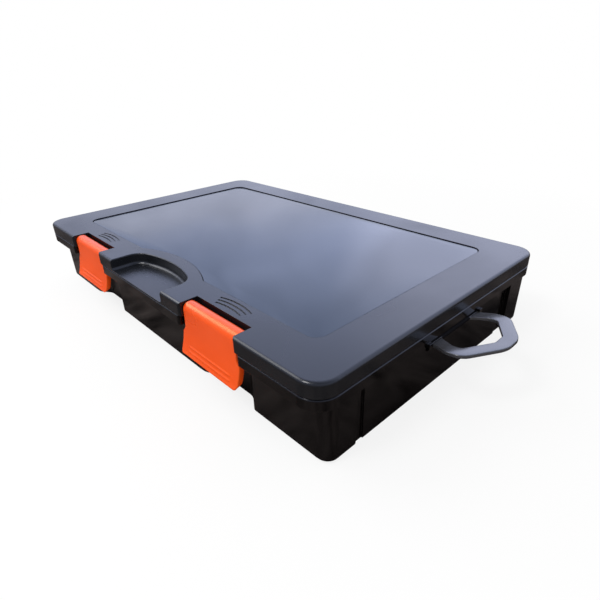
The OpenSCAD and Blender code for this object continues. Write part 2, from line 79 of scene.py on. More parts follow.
# Latch: heights are measured up from its lower edge, and widths out from its middle
LIP_TOP = 3 * MM
FLARE = (13.6 * MM, 18.6 * MM)
RIB_HEIGHTS = (3.7 * MM, 6.7 * MM)
RIB_SPREAD = 0.5 * MM
RIB_FADE = (20.6 * MM, 22.2 * MM)
CHEEK_FOOT = (2.2 * MM, 4.2 * MM)
CHEEK_TOP = (14.5 * MM, 17.5 * MM)
CHEEK_INSETS = (2.4 * MM, 1.5 * MM)
CHEEK_DEPTH = 1.5 * MM
HOOK_HEIGHT = 15.2 * MM
HOOK_SPREAD = 0.95 * MM
HOOK_FADE = (18.4 * MM, 19 * MM)
HOOK_DEPTH = 2.3 * MM
# The inner face joins the barrel this many barrel radii below the axis, and its cheeks and hook
# stay this far below the axis
INNER_JOIN = 0.86
INNER_DROP = 5 * MM
# Ribs, cheeks and hook grow where the Y of a face's normal passes through this range
FACING = (0.5, 0.9)
BORE_RADIUS = 1.33 * MM

# Hanging loop: half widths are measured from its middle, and the rest out from its axis
LOOP_THICKNESS = 2.2 * MM
LOOP_HALF, LOOP_ROOT_HALF, LOOP_TIP_HALF = 29.5 * MM, 26.5 * MM, 7 * MM
LOOP_START, LOOP_NECK, LOOP_SWELL, LOOP_SHOULDER = -0.2 * MM, 4 * MM, 11 * MM, 21 * MM
LOOP_RADII = np.array([0.8, 8, 8, 10, 16]) * MM
HOLE_START, HOLE_HALF, HOLE_RADIUS = 0.9 * MM, 16.5 * MM, 3.8 * MM
# The round bar at its root with the stub axles, as (radius, y) in millimetres
AXLE_HALF = [(1.6, 26.2), (1.3, 26.5), (1.2, 26.5), (1.2, 29.7), (1.0, 29.9), (0, 29.9)]
LEAST_RADIUS = 0.02 * MM

# Window: the corner radius, and the arc that passes behind the finger recess
WINDOW_CORNER = 8 * MM
BUMP_RADIUS = 92 * MM
BUMP_REACH = 39.6 * MM
WINDOW_CHAMFER = 0.2 * MM

# How far the roughness of a moulding goes up and down over its face
GLOSS_SPREAD = 0.06

# Stage. Light in the room is given as (from, to) points of a graph: across is 1 towards the room's
# window and -1 away from it, and up is 1 overhead, 0 level with the box and -1 below it.
FLOOR_HALF = 6.0
FLOOR_DROP = 0.1 * MM
KEY_SIZE, KEY_PLACE = 1.0, (-0.95, -0.5, 1.05)
EDGE_SIZE, EDGE_PLACE = 0.42, (-0.08, -0.90, 1.20)
ROOM_WINDOW = Vector((-0.3, 0.95, 0)).normalized()
PANE_ACROSS = [(-1, 0), (0.92, 0), (0.965, 0.9), (1, 1)]
PANE_UP = [(-1, 0), (0.24, 0.1), (0.34, 1), (0.47, 1), (0.62, 0), (1, 0)]
SKY_ACROSS = [(-1, 0.35), (0.2, 0.45), (0.62, 0.85), (0.8, 1), (1, 1)]
SKY_UP = [(-1, 0), (0, 0.4), (0.22, 0.85), (0.33, 1), (0.65, 1), (1, 0.55)]
HAZE_UP = [(-1, 1), (0.22, 1), (0.40, 0), (1, 0)]
WHITE = (1, 1, 1, 1)


# ------------------------------------------------------------------ settings


def length(name, description, default, high=1.0):
    """A property that holds a length in metres."""
    return bpy.props.FloatProperty(name=name, description=description, default=default, min=0.0,
                                   max=high, unit="LENGTH", subtype="DISTANCE", precision=4)


def angle(name, description, degrees):
    """A property that holds an angle, given here in degrees."""
    return bpy.props.FloatProperty(name=name, description=description,
                                   default=math.radians(degrees), unit="ROTATION",
                                   subtype="ANGLE")


def share(name, description, default, high=1.0):
    """A property that holds a plain number from 0 upwards."""
    return bpy.props.FloatProperty(name=name, description=description, default=default, min=0.0,
                                   max=high)


def colour(name, description, default):
    """A property that holds a linear RGB colour."""
    return bpy.props.FloatVectorProperty(name=name, description=description, default=default,
                                         size=3, min=0.0, max=1.0, subtype="COLOR")


class TackleBoxSizes(bpy.types.PropertyGroup):
    """Sizes of the pieces that are surfaces of this file."""

    latch_thickness: length("Latch thickness", "Thickness of a latch's plate", 2.2 * MM)
    latch_barrel: length("Latch barrel", "Radius of the roll along the top of a latch", 4.4 * MM)
    latch_roll: length("Latch roll", "Extra depth of the roll towards the lid", 1.0 * MM)
    latch_flare: length("Latch flare", "Extra width of the thumb plate on each side", 2.7 * MM)
    latch_lean: length("Latch lean", "How far the thumb plate stands out from the barrel",
                       4.6 * MM)
    latch_lip: length("Latch lip", "How far the lower edge of the thumb plate curls out",
                      0.4 * MM)
    latch_edge: length("Latch edge", "Rounding along the edges of a latch", 0.55 * MM)
    thumb_corner: length("Thumb plate corner", "Corner radius of the thumb plate", 4.5 * MM)
    grip_height: length("Grip rib height", "How far the grip ribs stand proud", 0.5 * MM)
    loop_bar: length("Loop bar", "Width of the hanging loop's bar", 8.4 * MM)
    loop_tilt: angle("Loop tilt", "How far the hanging loop points up at rest", 6.0)
    loop_edge: length("Loop edge", "Rounding along the edges of the hanging loop", 0.5 * MM)
    window_edge: length("Window edge", "Rounding along the upper edge of the window", 0.9 * MM)
    window_rise: length("Window rise", "How far the window's face stands up in its seat",
                        0.3 * MM)


class TackleBoxFinishes(bpy.types.PropertyGroup):
    """Colours and surface finish of each moulding."""

    tray_colour: colour("Tray colour", "Glossy black of the tray", (0.0028, 0.0022, 0.0022))
    tray_roughness: share("Tray roughness", "Roughness of the tray's polish", 0.14)
    lid_colour: colour("Lid colour", "Satin blue-black of the lid frame",
                       (0.0060, 0.0068, 0.0088))
    lid_roughness: share("Lid roughness", "Roughness of the lid's satin", 0.25)
    window_colour: colour("Window tint", "Smoke tint of the window", (0.008, 0.022, 0.046))
    window_roughness: share("Window roughness", "Roughness of the window's polish", 0.10)
    latch_colour: colour("Latch colour", "Orange of the latches", (0.81, 0.068, 0.003))
    latch_roughness: share("Latch roughness", "Roughness of the latches", 0.30)
    loop_colour: colour("Loop colour", "Satin black of the hanging loop", (0.045, 0.045, 0.050))
    divider_colour: colour("Divider colour", "Smoky grey of the dividers",
                           (0.050, 0.050, 0.056))
    steel_colour: colour("Pin colour", "Drawn steel of the pins", (0.60, 0.60, 0.62))


class TackleBoxStage(bpy.types.PropertyGroup):
    """Floor, light and camera."""

    floor_colour: colour("Floor colour", "Pale floor round the box", (0.86, 0.86, 0.86))
    ground_colour: colour("Mirrored ground", "What the polished walls mirror below them",
                          (0.10, 0.084, 0.080))
    floor_glow: share("Floor glow", "Share of plain white in the floor that the camera sees by "
                      "the box", 0.82)
    floor_clear: length("Clear floor", "Distance from the box's middle where the floor is plain "
                        "white", 0.55, high=6.0)
    sky_colour: colour("Soft sky", "Light that the box mirrors from all round",
                       (0.42, 0.48, 0.70))
    haze_colour: colour("Low sky", "Paler light that the box mirrors from low down",
                        (0.45, 0.475, 0.60))
    glow_colour: colour("Window light", "Light of the large pale window behind the box",
                        (0.70, 0.75, 1.0))
    sky_strength: share("Mirrored light", "Strength of the light that the box mirrors", 3.1, 10.0)
    key_watts: share("Key light", "Power of the large soft light, in watts", 8.5, 1000.0)
    edge_watts: share("Edge light", "Power of the small light that catches the near corner, in "
                      "watts", 7.0, 1000.0)
    fill_strength: share("Surrounding light", "Strength of the light from all round", 0.70, 10.0)
    camera_target: bpy.props.FloatVectorProperty(
        name="Camera target", description="Point that the camera looks at", size=3,
        default=(32.6 * MM, 11.1 * MM, 1.0 * MM), unit="LENGTH", subtype="TRANSLATION")
    camera_distance: length("Camera distance", "Distance from the target", 389.36 * MM, high=10.0)
    camera_azimuth: angle("Camera azimuth", "Turn round the box from the latch side", 47.35)
    camera_elevation: angle("Camera elevation", "Height above the horizon", 27.52)
    camera_roll: angle("Camera roll", "Turn of the picture", -1.69)
    camera_lens: bpy.props.FloatProperty(
        name="Camera lens", description="Focal length on a 36 mm wide sensor, in millimetres",
        default=27.2, min=1.0)


# ------------------------------------------------------------------ surfaces


def smoothstep(low, high, x):
    """0 below low, 1 above high, and 3t squared minus 2t cubed in between."""
    t = np.clip((x - low) / (high - low), 0.0, 1.0)
    return t * t * (3 - 2 * t)


def rounding(radius, steps):
    """How an edge of this radius is drawn in and carried on while it turns by a, from 0 to 90
    degrees: radius (1 - cos a) and radius sin a."""
    a = np.radians(np.linspace(0, 90, steps))
    return radius * (1 - np.cos(a)), radius * np.sin(a)


def arc(centre, radius, start, end, count):
    """Points centre + radius (cos a, sin a), with a in even steps from start to end, in degrees."""
    a = np.radians(np.linspace(start, end, count))
    return np.array(centre) + radius * np.stack([np.cos(a), np.sin(a)], -1)


def rounded_outline(corners, radii, counts):
    """A closed outline whose corners are arcs of the given radii, each tangent to both of its
    sides and made of its own count of points."""
    corners = np.array(corners, float)
    before = np.roll(corners, 1, 0) - corners
    after = np.roll(corners, -1, 0) - corners
    before /= np.linalg.norm(before, axis=1, keepdims=True)
    after /= np.linalg.norm(after, axis=1, keepdims=True)
    half = np.arccos(np.clip((before * after).sum(1), -1, 1)) / 2
    middle = before + after
    middle /= np.linalg.norm(middle, axis=1, keepdims=True)
    centre = corners + middle * (np.array(radii, float) / np.sin(half))[:, None]
    turn = np.sign(before[:, 0] * after[:, 1] - before[:, 1] * after[:, 0])
    base = np.degrees(np.arctan2(-middle[:, 1], -middle[:, 0]))
    # Each arc runs from its foot on the side before to its foot on the side after
    sweep = turn * np.degrees(math.pi / 2 - half)
    return np.concatenate([arc(c, r, b + w, b - w, n)
                           for c, r, b, w, n in zip(centre, radii, base, sweep, counts)])


def outward_normals(outline):
    """Unit normals of a closed outline drawn anticlockwise, square to the chord between each
    point's neighbours."""
    along = np.roll(outline, -1, 0) - np.roll(outline, 1, 0)
    along /= np.linalg.norm(along, axis=1, keepdims=True)
    return np.stack([along[:, 1], -along[:, 0]], -1)


def raised(outline, z):
    """A flat outline, placed at the height z."""
    return np.column_stack([outline, np.full(len(outline), z)])


def ring_faces(rings, count):
    """Quads between neighbouring rings of count points each, closed round each ring."""
    i, j = np.meshgrid(np.arange(rings - 1), np.arange(count), indexing="ij")
    k = (j + 1) % count
    corners = [i * count + j, i * count + k, (i + 1) * count + k, (i + 1) * count + j]
    return np.stack(corners, -1).reshape(-1, 4)


def cap_faces(loops, indices):
    """Triangles that fill the outline loops[0] less the holes in the others. The loops are flat."""
    flat = np.concatenate(indices)
    triangles = tessellate_polygon([[Vector(p) for p in loop] for loop in loops])
    return [[int(flat[a]) for a in t] for t in triangles]


def facing(points, faces, direction):
    """The faces, each turned so that its normal points along direction."""
    turned = []
    for face in faces:
        a, b, c = (points[i] for i in face[:3])
        along = np.dot(np.cross(b - a, c - a), direction)
        turned.append(face if along > 0 else face[::-1])
    return turned


def turned_bar(profile, count=32):
    """A bar turned about the Y axis from (radius, y) in millimetres: each point goes round at
    (radius cos a, y, radius sin a). A radius of 0 is taken as LEAST_RADIUS."""
    profile = np.array(profile) * MM
    a = np.linspace(0, 2 * math.pi, count, endpoint=False)
    r = np.maximum(profile[:, :1], LEAST_RADIUS)
    y = np.repeat(profile[:, 1:], count, 1)
    points = np.stack([r * np.cos(a), y, r * np.sin(a)], -1)
    return points.reshape(-1, 3), ring_faces(len(profile), count)[:, ::-1]


def place_mesh(name, points, faces, body, stands_for, material, sharp=40):
    """Puts a surface into the scene as a piece that rides on a body and stands for a CAD node.
    Edges that turn by more than sharp, in degrees, stay crisp."""
    mesh = bpy.data.meshes.new(name)
    mesh.from_pydata(np.asarray(points).tolist(), [], [list(map(int, f)) for f in faces])
    mesh.validate()
    mesh.shade_smooth()
    mesh.set_sharp_from_angle(angle=math.radians(sharp))
    mesh.materials.append(material)
    piece = bpy.data.objects.new(name, mesh)
    bpy.context.scene.collection.objects.link(piece)
    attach(piece, body)
    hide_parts(stands_for)
    return piece


# ------------------------------------------------------------------ latches


def latch_face(z, sizes):
    """Y of the latch's outer face: it hangs straight below the barrel's front and curls out by
    the lean times the cube of the way down to the lower end, and by the lip times the square of
    the way down its last stretch."""
    way = np.clip((LATCH_AXIS.z - z) / (LATCH_AXIS.z - LATCH_LOW.z), 0, 1)
    curl = np.clip(1 - (z - LATCH_LOW.z - sizes.latch_thickness / 2) / LIP_TOP, 0, 1)
    front = LATCH_AXIS.y - sizes.latch_barrel
    return front - sizes.latch_lean * way ** 3 - sizes.latch_lip * curl ** 2


def latch_profile(sizes):
    """The latch seen from its end, anticlockwise when looked at from +X with Y to the right: down
    the outer face, round the lower edge, up the inner face and back round the barrel, whose top
    has a short flat."""
    t = sizes.latch_thickness
    low = LATCH_LOW.z + t / 2
    down = np.linspace(LATCH_AXIS.z, low, 96)
    outer = np.stack([latch_face(down, sizes), down], -1)
    tip = arc((latch_face(low, sizes) + t / 2, low), t / 2, 180, 360, 13)[1:-1]
    join = LATCH_AXIS.z - sizes.latch_barrel * INNER_JOIN
    up = np.linspace(low, join, 72)
    inner = np.stack([latch_face(up, sizes) + t, up], -1)
    roll = (LATCH_AXIS.y + sizes.latch_roll, LATCH_AXIS.z)
    back = arc(roll, sizes.latch_barrel, -90, 90, 37)
    front = arc((LATCH_AXIS.y, LATCH_AXIS.z), sizes.latch_barrel, 90, 180, 20)[:-1]
    return np.concatenate([outer, tip, inner, back, front])


def latch_half_width(z, sizes):
    """Half the latch's width at height z: that of the thumb plate, less the flare further up where
    the latch stands in its notch, drawn in along a circle at the thumb plate's lower corners."""
    wide = (LATCH_HIGH.x - LATCH_LOW.x) / 2
    level = z - LATCH_LOW.z
    plain = wide - sizes.latch_flare * smoothstep(*FLARE, level)
    r = sizes.thumb_corner
    drop = np.clip(r - level, 0, r)
    return plain - r + np.sqrt(r * r - drop * drop)


def latch_surface(sizes):
    """The latch as rings of its profile, one for each station s across its width. A point lies at
    x = s times the half width at its height. Near both ends the profile is drawn in by the edge
    radius e (1 - cos a) as x gains e sin a. The outer face carries two ribs, each a rounded ridge
    along X, and the inner face carries cheeks along both ends and a hook bead."""
    profile = latch_profile(sizes)
    normal = outward_normals(profile)
    inset, gain = rounding(sizes.latch_edge, 6)
    # The stations are closer together towards the ends, where the cheeks, ribs and hook end
    across = np.concatenate([np.linspace(0, 0.74, 20), np.linspace(0.745, 1, 40)])
    steps = np.concatenate([-across[::-1], across[1:]])[1:-1]
    s = np.concatenate([np.full(len(inset), -1.0), steps, np.full(len(inset), 1.0)])
    draw_in = np.concatenate([inset[::-1], np.zeros(len(steps)), inset])[:, None]
    beyond = np.concatenate([-gain[::-1], np.zeros(len(steps)), gain])[:, None]
    y = profile[None, :, 0] - draw_in * normal[None, :, 0]
    z = profile[None, :, 1] - draw_in * normal[None, :, 1]
    inside = np.clip(profile[:, 1], LATCH_LOW.z, None)
    half = latch_half_width(inside, sizes) - sizes.latch_edge
    x = s[:, None] * half[None, :] + beyond
    out = np.abs(x)
    level = profile[None, :, 1] - LATCH_LOW.z
    faces_out = smoothstep(*FACING, -normal[:, 0])[None, :]
    below = profile[:, 1] < LATCH_AXIS.z - INNER_DROP
    faces_in = (smoothstep(*FACING, normal[:, 0]) * below)[None, :]
    # Grip ribs
    ridge = sum(np.exp(-((level - height) / RIB_SPREAD) ** 2) for height in RIB_HEIGHTS)
    y = y - sizes.grip_height * ridge * (1 - smoothstep(*RIB_FADE, out)) * faces_out
    # Cheeks behind the ends of the thumb plate
    wide = (LATCH_HIGH.x - LATCH_LOW.x) / 2
    cheek = smoothstep(wide - CHEEK_INSETS[0], wide - CHEEK_INSETS[1], out)
    cheek = cheek * smoothstep(*CHEEK_FOOT, level) * (1 - smoothstep(*CHEEK_TOP, level))
    y = y + CHEEK_DEPTH * cheek * faces_in
    # Hook bead
    bead = np.exp(-((level - HOOK_HEIGHT) / HOOK_SPREAD) ** 2) * (1 - smoothstep(*HOOK_FADE, out))
    y = y + HOOK_DEPTH * bead * faces_in
    return np.stack([x, y, z], -1)


def latch_mesh(side, sizes):
    """One latch: the surface, closed at both ends by flat cheeks with the pin's bore through
    them."""
    rings = latch_surface(sizes)
    count = rings.shape[1]
    points = rings.reshape(-1, 3)
    faces = [list(f) for f in ring_faces(len(rings), count)]
    bore = arc((LATCH_AXIS.y, LATCH_AXIS.z), BORE_RADIUS, 0, 360, 25)[:-1]
    first = len(points)
    for ring, out in ((0, -1), (len(rings) - 1, 1)):
        rim = points[ring * count:(ring + 1) * count]
        # The bore's mouth lies in the end of the barrel, which is the last part of the profile
        x = rim[count // 2 + 30:, 0].mean()
        mouth = np.column_stack([np.full(len(bore), x), bore])
        flat = [np.column_stack([np.zeros(len(p)), p[:, 1:]]) for p in (rim, mouth)]
        caps = cap_faces(flat, [np.arange(ring * count, (ring + 1) * count),
                                np.arange(len(points), len(points) + len(bore))])
        points = np.concatenate([points, mouth])
        faces += facing(points, caps, (out, 0, 0))
    faces += [list(f[::-1]) for f in ring_faces(2, len(bore)) + first]
    return points + np.array([side * LATCH_AXIS.x, 0, 0]), faces


# ------------------------------------------------------------------ hanging loop


def loop_outlines(sizes):
    """The loop's outer and inner outlines in its own plane, with x from its axis and equally many
    points, so that each point of one faces its partner on the other. The hole's slanted sides run
    one bar width inside the outer ones."""
    bar = sizes.loop_bar
    rise = LOOP_THICKNESS / 2 * math.sin(sizes.loop_tilt)
    reach = (LOOP_END - LOOP_AXIS.x - rise) / math.cos(sizes.loop_tilt)
    slope = Vector((reach - LOOP_SHOULDER, LOOP_HALF - LOOP_TIP_HALF)).normalized()
    inner = LOOP_HALF - bar
    hole_tip = reach - bar
    corner = LOOP_SHOULDER + bar * (slope.x - 1) / slope.y
    slant = inner - (hole_tip - corner) * slope.y / slope.x
    side = [(LOOP_START, -LOOP_ROOT_HALF), (LOOP_NECK, -LOOP_ROOT_HALF),
            (LOOP_SWELL, -LOOP_HALF), (LOOP_SHOULDER, -LOOP_HALF), (reach, -LOOP_TIP_HALF)]
    hole_side = [(HOLE_START, -HOLE_HALF), (LOOP_SWELL, -inner), (corner, -inner),
                 (hole_tip, -slant)]
    outlines = []
    for half_way, radii, counts in ((side, LOOP_RADII, (5, 5, 5, 15, 10)),
                                    (hole_side, np.full(4, HOLE_RADIUS), (11, 6, 13, 10))):
        mirrored = [(x, -y) for x, y in reversed(half_way)]
        outlines.append(rounded_outline(half_way + mirrored, [*radii, *radii[::-1]],
                                        counts + counts[::-1]))
    return outlines


def loop_mesh(sizes):
    """The hanging loop: rings that go round its bar's rounded section, from the outer outline
    over the top to the hole and back below. Each is an outline drawn in by e (1 - cos a) at the
    height where the edge has turned by a. The root is a round bar that ends in two thinner stub
    axles. All of it is turned up about the axis by the tilt. The last faces, as many as the third
    result, are the root's."""
    outer, hole = loop_outlines(sizes)
    inset, gain = rounding(sizes.loop_edge, 7)
    lift = LOOP_THICKNESS / 2 - sizes.loop_edge + gain
    out_n, hole_n = outward_normals(outer), outward_normals(hole)
    rows = [(outer - out_n * d, z) for d, z in zip(inset, lift)]
    rows += [(hole + hole_n * d, z) for d, z in zip(inset[::-1], lift[::-1])]
    rows += [(hole + hole_n * d, -z) for d, z in zip(inset, lift)]
    rows += [(outer - out_n * d, -z) for d, z in zip(inset[::-1], lift[::-1])]
    rings = np.array([raised(plan, z) for plan, z in rows])
    count = rings.shape[1]
    faces = list(ring_faces(len(rings), count))
    # The last ring joins the first again
    last = (len(rings) - 1) * count
    j = np.arange(count)
    k = (j + 1) % count
    faces += list(np.stack([last + j, last + k, k, j], -1))
    points = rings.reshape(-1, 3)
    near_half = [(radius, -y) for radius, y in reversed(AXLE_HALF)]
    root, root_faces = turned_bar(near_half + AXLE_HALF)
    faces += list(root_faces + len(points))
    points = np.concatenate([points, root])
    c, s = math.cos(sizes.loop_tilt), math.sin(sizes.loop_tilt)
    tilted = np.stack([c * points[:, 0] - s * points[:, 2], points[:, 1],
                       s * points[:, 0] + c * points[:, 2]], -1)
    return tilted + np.array(LOOP_AXIS), faces, len(root_faces)


# ------------------------------------------------------------------ window


def window_outline(grow):
    """The window seen from above, anticlockwise, grown on all sides: a rounded rectangle whose
    front side gives way to an arc that passes behind the finger recess."""
    bump_r = BUMP_RADIUS - grow
    bump_y = LID_FRONT + BUMP_REACH - BUMP_RADIUS
    meet = math.degrees(math.acos((WINDOW_LOW.y - grow - bump_y) / bump_r))
    r = WINDOW_CORNER + grow
    right = WINDOW_HIGH.x - WINDOW_CORNER
    back = WINDOW_HIGH.y - WINDOW_CORNER
    front = WINDOW_LOW.y + WINDOW_CORNER
    return np.concatenate([
        arc((0, bump_y), bump_r, 90 + meet, 90 - meet, 61),
        arc((right, front), r, 270, 360, 13),
        arc((right, back), r, 0, 90, 13),
        arc((-right, back), r, 90, 180, 13),
        arc((-right, front), r, 180, 270, 13),
    ])


def window_mesh(sizes):
    """The window: its outline carried up from the lower to the upper face, drawn in by
    e (1 - cos a) as the upper edge turns by a, with both faces flat."""
    inset, gain = rounding(sizes.window_edge, 6)
    shoulder = WINDOW_HIGH.z + sizes.window_rise - sizes.window_edge
    rows = [(-WINDOW_CHAMFER, WINDOW_LOW.z), (0, WINDOW_LOW.z + WINDOW_CHAMFER)]
    rows += list(zip(-inset, shoulder + gain))
    rings = np.array([raised(window_outline(grow), z) for grow, z in rows])
    count = rings.shape[1]
    points = rings.reshape(-1, 3)
    faces = [list(f) for f in ring_faces(len(rings), count)]
    for ring, out in ((0, -1), (len(rings) - 1, 1)):
        index = np.arange(ring * count, (ring + 1) * count)
        faces += facing(points, cap_faces([points[index]], [index]), (0, 0, out))
    return points, faces


# ------------------------------------------------------------------ finishes


def add_node(tree, kind, inputs=None, **settings):
    """A new shader node. Each input is a value, or the socket that feeds it."""
    made = tree.nodes.new(kind)
    for key, value in settings.items():
        setattr(made, key, value)
    for key, value in (inputs or {}).items():
        if isinstance(value, bpy.types.NodeSocket):
            tree.links.new(value, made.inputs[key])
        else:
            made.inputs[key].default_value = value
    return made


def remap(tree, value, low, high):
    """Takes a noise value of about 0.3 to 0.7 to the range from low to high."""
    return add_node(tree, "ShaderNodeMapRange",
                    {"Value": value, "From Min": 0.3, "From Max": 0.7,
                     "To Min": low, "To Max": high}).outputs["Result"]


def noise(tree, place, scale, detail=2.0, stretch=(1, 1, 1), distortion=0.0):
    """Noise of about scale lumps a metre over the given coordinates."""
    mapped = add_node(tree, "ShaderNodeMapping", {"Vector": place, "Scale": stretch})
    return add_node(tree, "ShaderNodeTexNoise",
                    {"Vector": mapped.outputs["Vector"], "Scale": scale, "Detail": detail,
                     "Distortion": distortion}).outputs["Fac"]


def tinted(tree, fac, dark, light):
    """A colour between dark and light, by fac. Each is three numbers or a socket."""
    mix = add_node(tree, "ShaderNodeMix", {"Factor": fac}, data_type="RGBA")
    for socket, value in (("A", dark), ("B", light)):
        if isinstance(value, bpy.types.NodeSocket):
            tree.links.new(value, mix.inputs[socket])
        else:
            mix.inputs[socket].default_value = (*value, 1)
    return mix.outputs["Result"]


def graph(tree, value, points):
    """A value carried through a graph of straight lines between (from, to) points."""
    low, high = points[0][0], points[-1][0]
    along = add_node(tree, "ShaderNodeMapRange",
                     {"Value": value, "From Min": low, "From Max": high}).outputs["Result"]
    ramp = add_node(tree, "ShaderNodeValToRGB", {"Fac": along})
    stops = ramp.color_ramp.elements
    for stop, (_, level) in zip(stops, (points[0], points[-1])):
        stop.color = (level, level, level, 1)
    for at, level in points[1:-1]:
        stops.new((at - low) / (high - low)).color = (level, level, level, 1)
    return ramp.outputs["Color"]


def product(tree, *factors):
    """The factors multiplied together."""
    result = factors[0]
    for factor in factors[1:]:
        result = add_node(tree, "ShaderNodeMath", {0: result, 1: factor},
                          operation="MULTIPLY").outputs[0]
    return result


def bumped(tree, height, strength, distance, normal=None):
    """Normals tilted by a height from 0 to distance, on top of the given normals."""
    inputs = {"Height": height, "Strength": strength, "Distance": distance}
    if normal is not None:
        inputs["Normal"] = normal
    return add_node(tree, "ShaderNodeBump", inputs).outputs["Normal"]


def start_material(name):
    """An empty node material: (material, tree, shader, object coordinates)."""
    material = bpy.data.materials.new(name)
    material.use_nodes = True
    tree = material.node_tree
    tree.nodes.clear()
    output = tree.nodes.new("ShaderNodeOutputMaterial")
    shader = tree.nodes.new("ShaderNodeBsdfPrincipled")
    tree.links.new(shader.outputs["BSDF"], output.inputs["Surface"])
    place = tree.nodes.new("ShaderNodeTexCoord").outputs["Object"]
    return material, tree, shader, place


def moulded_plastic(name, base, roughness, edge_radius, grain, grain_depth, specular=0.5,
                    wave=0.0, edge_light=0.25, shine=(1.0, 1.0, 1.0)):
    """A moulded plastic: a fine grain from the tool, slow changes of gloss where the melt flowed,
    edges that catch the light on a small radius, and a painted highlight along them, where the base
    colour is lightened by up to edge_light. A wave above 0 gives the walls slow waves of that
    height."""
    material, tree, shader, place = start_material(name)
    shader.inputs["Specular IOR Level"].default_value = specular
    shader.inputs["Specular Tint"].default_value = (*shine, 1)
    base = np.array(base)
    flow = noise(tree, place, 14, 3, (1, 1, 2.4), 0.6)
    mottled = tinted(tree, flow, base * 0.86, np.minimum(base * 1.14, 1))
    # The further the rounded normal turns from the plain one, the nearer is an edge
    bevel = add_node(tree, "ShaderNodeBevel", {"Radius": edge_radius}, samples=6).outputs["Normal"]
    plain = tree.nodes.new("ShaderNodeNewGeometry").outputs["Normal"]
    alike = add_node(tree, "ShaderNodeVectorMath", {0: bevel, 1: plain}, operation="DOT_PRODUCT")
    # Painted highlight: along the edges the base colour is lightened towards base * 1.8 + 0.02, by
    # up to edge_light
    edge_highlight = add_node(tree, "ShaderNodeMapRange",
                      {"Value": alike.outputs["Value"], "From Min": 0.995, "From Max": 0.80,
                       "To Min": 0.0, "To Max": edge_light}).outputs["Result"]
    edge_highlighted = tinted(tree, edge_highlight, mottled, np.minimum(base * 1.8 + 0.02, 1))
    tree.links.new(edge_highlighted, shader.inputs["Base Color"])
    gloss = remap(tree, flow, roughness - GLOSS_SPREAD, roughness + GLOSS_SPREAD)
    tree.links.new(gloss, shader.inputs["Roughness"])
    normal = bumped(tree, noise(tree, place, grain, 2), 0.6, grain_depth, bevel)
    if wave:
        normal = bumped(tree, noise(tree, place, 30, 2, (1, 1, 0.3), 0.3), 1.0, wave, normal)
    tree.links.new(normal, shader.inputs["Normal"])
    return material


def smoked_plastic(name, tint, roughness):
    """A polished smoked sheet: dark and a little see-through, with slow waves in its face and
    faint rubbing that changes the gloss."""
    material, tree, shader, place = start_material(name)
    shader.inputs["Specular IOR Level"].default_value = 0.62
    shader.inputs["IOR"].default_value = 1.52
    shader.inputs["Transmission Weight"].default_value = 0.35
    tint = np.array(tint)
    smoke = tinted(tree, noise(tree, place, 9, 2), tint * 0.9, tint * 1.12)
    tree.links.new(smoke, shader.inputs["Base Color"])
    rub = noise(tree, place, 260, 4, (0.25, 1, 1), 0.4)
    tree.links.new(remap(tree, rub, roughness * 0.8, roughness * 1.25), shader.inputs["Roughness"])
    normal = bumped(tree, noise(tree, place, 12, 1), 1.0, 0.5 * MM)
    tree.links.new(normal, shader.inputs["Normal"])
    return material


def drawn_steel(name, base):
    """Steel wire: bright metal with fine streaks along X, the way it was drawn."""
    material, tree, shader, place = start_material(name)
    shader.inputs["Metallic"].default_value = 1.0
    streaks = noise(tree, place, 2400, 2, (0.02, 1, 1))
    base = np.array(base)
    bright = tinted(tree, streaks, base * 0.8, np.minimum(base * 1.1, 1))
    tree.links.new(bright, shader.inputs["Base Color"])
    tree.links.new(remap(tree, streaks, 0.22, 0.38), shader.inputs["Roughness"])
    tree.links.new(bumped(tree, streaks, 0.4, 0.02 * MM), shader.inputs["Normal"])
    return material


def finish_nodes(names, material):
    """Gives CAD nodes a material in place of their own."""
    for name in names:
        for slot in frame["nodes"][name].material_slots:
            slot.material = material


# ------------------------------------------------------------------ stage


def add_floor(stage):
    """A large pale floor just under the box. The camera sees it lifted towards white, with a soft
    shadow, and the polished walls mirror a darker, patchy ground."""
    material, tree, shader, place = start_material("Pale_floor")
    shader.inputs["Roughness"].default_value = 0.9
    shader.inputs["Specular IOR Level"].default_value = 0.1
    base = np.array(stage.floor_colour)
    pale = tinted(tree, noise(tree, place, 3, 2), base * 0.995, base * 1.005)
    patches = remap(tree, noise(tree, place, 22, 3, distortion=1.2), 0.0, 1.0)
    ground = np.array(stage.ground_colour)
    mirrored = tinted(tree, patches, ground * 0.05, ground * 2.2)
    path = tree.nodes.new("ShaderNodeLightPath").outputs
    floor_seen = tinted(tree, path["Is Glossy Ray"], pale, mirrored)
    tree.links.new(floor_seen, shader.inputs["Base Color"])
    away = add_node(tree, "ShaderNodeVectorMath", {0: place}, operation="LENGTH").outputs["Value"]
    glow = add_node(tree, "ShaderNodeMapRange",
                    {"Value": away, "From Min": 0.15, "From Max": stage.floor_clear,
                     "To Min": stage.floor_glow, "To Max": 1.0}).outputs["Result"]
    white = add_node(tree, "ShaderNodeEmission", {"Color": WHITE, "Strength": 1.0})
    lifted = add_node(tree, "ShaderNodeMixShader",
                      {0: product(tree, path["Is Camera Ray"], glow),
                       1: shader.outputs["BSDF"], 2: white.outputs[0]})
    tree.links.new(lifted.outputs[0], tree.get_output_node("CYCLES").inputs["Surface"])
    corners = np.array([(-1, -1), (1, -1), (1, 1), (-1, 1)]) * FLOOR_HALF
    mesh = bpy.data.meshes.new("floor")
    mesh.from_pydata(raised(corners, -FLOOR_DROP).tolist(), [], [(0, 1, 2, 3)])
    mesh.materials.append(material)
    floor = bpy.data.objects.new("floor", mesh)
    bpy.context.scene.collection.objects.link(floor)


